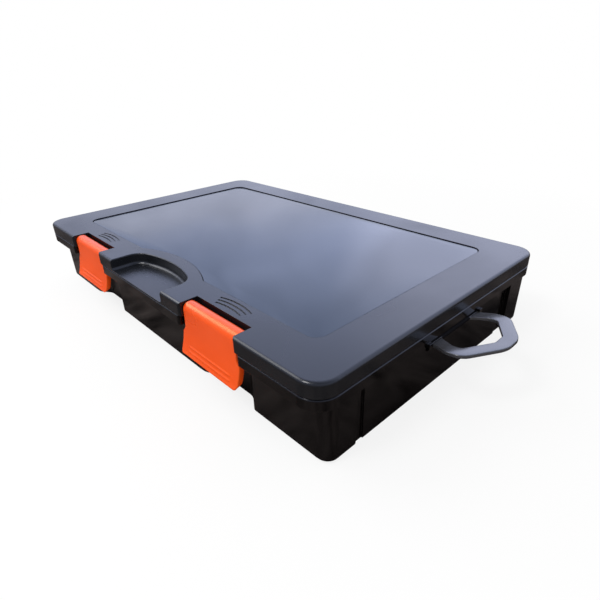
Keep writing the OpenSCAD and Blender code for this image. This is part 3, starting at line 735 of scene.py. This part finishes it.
def light_the_room(scene, stage):
    """What the box mirrors is a soft bluish sky, brightest through a large pale window behind the
    box and dimmer towards the camera and the ground. What lights it is even and neutral, and the
    camera sees white behind the floor."""
    world = bpy.data.worlds.new("Soft_room")
    world.use_nodes = True
    tree = world.node_tree
    tree.nodes.clear()
    place = tree.nodes.new("ShaderNodeTexCoord").outputs["Generated"]
    up = add_node(tree, "ShaderNodeSeparateXYZ", {"Vector": place}).outputs["Z"]
    level = add_node(tree, "ShaderNodeVectorMath", {0: place, 1: (1, 1, 0)},
                     operation="MULTIPLY").outputs[0]
    ahead = add_node(tree, "ShaderNodeVectorMath", {0: level}, operation="NORMALIZE").outputs[0]
    across = add_node(tree, "ShaderNodeVectorMath", {0: ahead, 1: ROOM_WINDOW},
                      operation="DOT_PRODUCT").outputs["Value"]
    pane = product(tree, graph(tree, across, PANE_ACROSS), graph(tree, up, PANE_UP))
    clouds = remap(tree, noise(tree, place, 5.0, 3, distortion=0.5), 0.84, 1.16)
    strength = product(tree, graph(tree, across, SKY_ACROSS), graph(tree, up, SKY_UP), clouds,
                       stage.sky_strength)
    sky = tinted(tree, graph(tree, up, HAZE_UP), stage.sky_colour, stage.haze_colour)
    sky = tinted(tree, pane, sky, stage.glow_colour)
    path = tree.nodes.new("ShaderNodeLightPath").outputs
    mirrored = add_node(tree, "ShaderNodeBackground", {"Color": sky, "Strength": strength})
    even = add_node(tree, "ShaderNodeBackground",
                    {"Color": WHITE, "Strength": stage.fill_strength})
    white = add_node(tree, "ShaderNodeBackground", {"Color": WHITE, "Strength": 1.0})
    lights = add_node(tree, "ShaderNodeMixShader",
                      {0: path["Is Glossy Ray"], 1: even.outputs[0], 2: mirrored.outputs[0]})
    seen = add_node(tree, "ShaderNodeMixShader",
                    {0: path["Is Camera Ray"], 1: lights.outputs[0], 2: white.outputs[0]})
    add_node(tree, "ShaderNodeOutputWorld", {"Surface": seen.outputs[0]})
    scene.world = world


def add_soft_light(name, watts, size, place):
    """A round soft light that faces the box."""
    light = bpy.data.lights.new(name, "AREA")
    light.energy = watts
    light.shape = "DISK"
    light.size = size
    lamp = bpy.data.objects.new(name, light)
    lamp.location = place
    lamp.rotation_euler = (-lamp.location).to_track_quat("-Z", "Y").to_euler()
    bpy.context.scene.collection.objects.link(lamp)


def add_camera(scene, stage):
    """The camera, at its azimuth, elevation and distance from its target, rolled in the picture."""
    az, el, roll = stage.camera_azimuth, stage.camera_elevation, stage.camera_roll
    back = Vector((math.sin(az) * math.cos(el), -math.cos(az) * math.cos(el), math.sin(el)))
    right = Vector((0, 0, 1)).cross(back).normalized()
    up = back.cross(right)
    turned_right = math.cos(roll) * right + math.sin(roll) * up
    turned_up = math.cos(roll) * up - math.sin(roll) * right
    data = bpy.data.cameras.new("camera")
    data.lens = stage.camera_lens
    data.sensor_width = 36
    data.clip_start, data.clip_end = 0.01, 50
    camera = bpy.data.objects.new("camera", data)
    place = Vector(stage.camera_target) + back * stage.camera_distance
    turn = Matrix((turned_right, turned_up, back)).transposed().to_4x4()
    camera.matrix_world = Matrix.Translation(place) @ turn
    bpy.context.scene.collection.objects.link(camera)
    scene.camera = camera


# ------------------------------------------------------------------ operators


class TACKLEBOX_OT_tray(bpy.types.Operator):
    """Give the tray its glossy black finish"""

    bl_idname = "tacklebox.tray"
    bl_label = "Tray"

    def execute(self, context):
        finishes = context.scene.tackle_box_finishes
        black = moulded_plastic(
            "Glossy_black", finishes.tray_colour, finishes.tray_roughness, edge_radius=0.5 * MM,
            grain=900, grain_depth=0.01 * MM, specular=0.4, wave=0.5 * MM)
        finish_nodes(["base_tray"], black)
        return {"FINISHED"}


class TACKLEBOX_OT_lid(bpy.types.Operator):
    """Give the lid frame its satin blue-black finish"""

    bl_idname = "tacklebox.lid"
    bl_label = "Lid frame"

    def execute(self, context):
        finishes = context.scene.tackle_box_finishes
        satin = moulded_plastic(
            "Satin_blue_black", finishes.lid_colour, finishes.lid_roughness,
            edge_radius=0.45 * MM, grain=2600, grain_depth=0.03 * MM)
        finish_nodes(["lid_frame"], satin)
        return {"FINISHED"}


class TACKLEBOX_OT_window(bpy.types.Operator):
    """Add the smoked window"""

    bl_idname = "tacklebox.window"
    bl_label = "Window"

    def execute(self, context):
        finishes = context.scene.tackle_box_finishes
        smoked = smoked_plastic("Smoked_polish", finishes.window_colour,
                                finishes.window_roughness)
        points, faces = window_mesh(context.scene.tackle_box_sizes)
        place_mesh("smoked_window", points, faces, "lid", "lid_window", smoked,
                   sharp=25)
        return {"FINISHED"}


class TACKLEBOX_OT_latches(bpy.types.Operator):
    """Add both orange snap latches"""

    bl_idname = "tacklebox.latches"
    bl_label = "Snap latches"

    def execute(self, context):
        finishes = context.scene.tackle_box_finishes
        orange = moulded_plastic(
            "Satin_orange", finishes.latch_colour, finishes.latch_roughness,
            edge_radius=0.35 * MM, grain=1800, grain_depth=0.02 * MM, specular=0.75,
            edge_light=0.35, shine=(1.0, 0.95, 0.38))
        for name, side in SIDES.items():
            points, faces = latch_mesh(side, context.scene.tackle_box_sizes)
            place_mesh(f"snap_latch_{name}", points, faces, f"latch_{name}",
                       f"latch_{name}", orange)
        return {"FINISHED"}


class TACKLEBOX_OT_hanging_loop(bpy.types.Operator):
    """Add the hanging loop on the right end wall"""

    bl_idname = "tacklebox.hanging_loop"
    bl_label = "Hanging loop"

    def execute(self, context):
        finishes = context.scene.tackle_box_finishes
        grain = {"edge_radius": 0.3 * MM, "grain": 1500, "grain_depth": 0.02 * MM}
        satin = moulded_plastic("Satin_black_loop", finishes.loop_colour, 0.24, **grain,
                                specular=1.0)
        # The root bar gets a copy of the loop's plastic that is rougher and less shiny, with a much
        # darker colour: painted shade where the rim's overhang shades it
        shaded_axle = moulded_plastic("Shade_darkened_axle", finishes.tray_colour, 0.8, **grain,
                               specular=0.1)
        points, faces, root = loop_mesh(context.scene.tackle_box_sizes)
        loop = place_mesh("hanging_loop", points, faces, "hanger", "hanger",
                          satin)
        loop.data.materials.append(shaded_axle)
        slots = [0] * (len(faces) - root) + [1] * root
        loop.data.polygons.foreach_set("material_index", slots)
        return {"FINISHED"}


class TACKLEBOX_OT_dividers(bpy.types.Operator):
    """Give the loose dividers their smoky grey finish"""

    bl_idname = "tacklebox.dividers"
    bl_label = "Dividers"

    def execute(self, context):
        finishes = context.scene.tackle_box_finishes
        grey = moulded_plastic("Smoky_grey", finishes.divider_colour, 0.42,
                               edge_radius=0.3 * MM, grain=1400, grain_depth=0.03 * MM)
        finish_nodes([name for name in frame["nodes"] if name.startswith("divider_")], grey)
        return {"FINISHED"}


class TACKLEBOX_OT_pins(bpy.types.Operator):
    """Give the latch and hinge pins their steel finish"""

    bl_idname = "tacklebox.pins"
    bl_label = "Steel pins"

    def execute(self, context):
        steel = drawn_steel("Drawn_steel", context.scene.tackle_box_finishes.steel_colour)
        finish_nodes([name for name in frame["nodes"] if "_pin_" in name], steel)
        return {"FINISHED"}


class TACKLEBOX_OT_stage(bpy.types.Operator):
    """Add the floor, the light and the camera"""

    bl_idname = "tacklebox.stage"
    bl_label = "Stage"

    def execute(self, context):
        stage = context.scene.tackle_box_stage
        add_floor(stage)
        light_the_room(context.scene, stage)
        add_soft_light("key", stage.key_watts, KEY_SIZE, KEY_PLACE)
        add_soft_light("edge", stage.edge_watts, EDGE_SIZE, EDGE_PLACE)
        add_camera(context.scene, stage)
        context.scene.view_settings.view_transform = "Standard"
        return {"FINISHED"}


class VIEW3D_PT_tackle_box(bpy.types.Panel):
    """Buttons and settings for the tackle box"""

    bl_label = "Tackle Box"
    bl_space_type = "VIEW_3D"
    bl_region_type = "UI"
    bl_category = "Tackle Box"

    def draw(self, context):
        column = self.layout.column()
        for operator in OPERATORS:
            column.operator(operator.bl_idname)
        for name in GROUPS:
            column.separator()
            group = getattr(context.scene, name)
            for setting in group.__annotations__:
                column.prop(group, setting)


GROUPS = {"tackle_box_sizes": TackleBoxSizes, "tackle_box_finishes": TackleBoxFinishes,
          "tackle_box_stage": TackleBoxStage}
OPERATORS = (TACKLEBOX_OT_tray, TACKLEBOX_OT_lid, TACKLEBOX_OT_window, TACKLEBOX_OT_latches,
             TACKLEBOX_OT_hanging_loop, TACKLEBOX_OT_dividers, TACKLEBOX_OT_pins,
             TACKLEBOX_OT_stage)
CLASSES = (*GROUPS.values(), *OPERATORS, VIEW3D_PT_tackle_box)


def register():
    """Makes the settings, the operators and the panel known to Blender."""
    for made in CLASSES:
        bpy.utils.register_class(made)
    for name, group in GROUPS.items():
        setattr(bpy.types.Scene, name, bpy.props.PointerProperty(type=group))


def unregister():
    """Takes them out again, in the opposite order."""
    for name in GROUPS:
        delattr(bpy.types.Scene, name)
    for made in reversed(CLASSES):
        bpy.utils.unregister_class(made)


def main():
    """Builds every piece and the stage."""
    register()
    bpy.ops.tacklebox.tray()
    bpy.ops.tacklebox.lid()
    bpy.ops.tacklebox.window()
    bpy.ops.tacklebox.latches()
    bpy.ops.tacklebox.hanging_loop()
    bpy.ops.tacklebox.dividers()
    bpy.ops.tacklebox.pins()
    bpy.ops.tacklebox.stage()


if __name__ == "__main__":
    main()
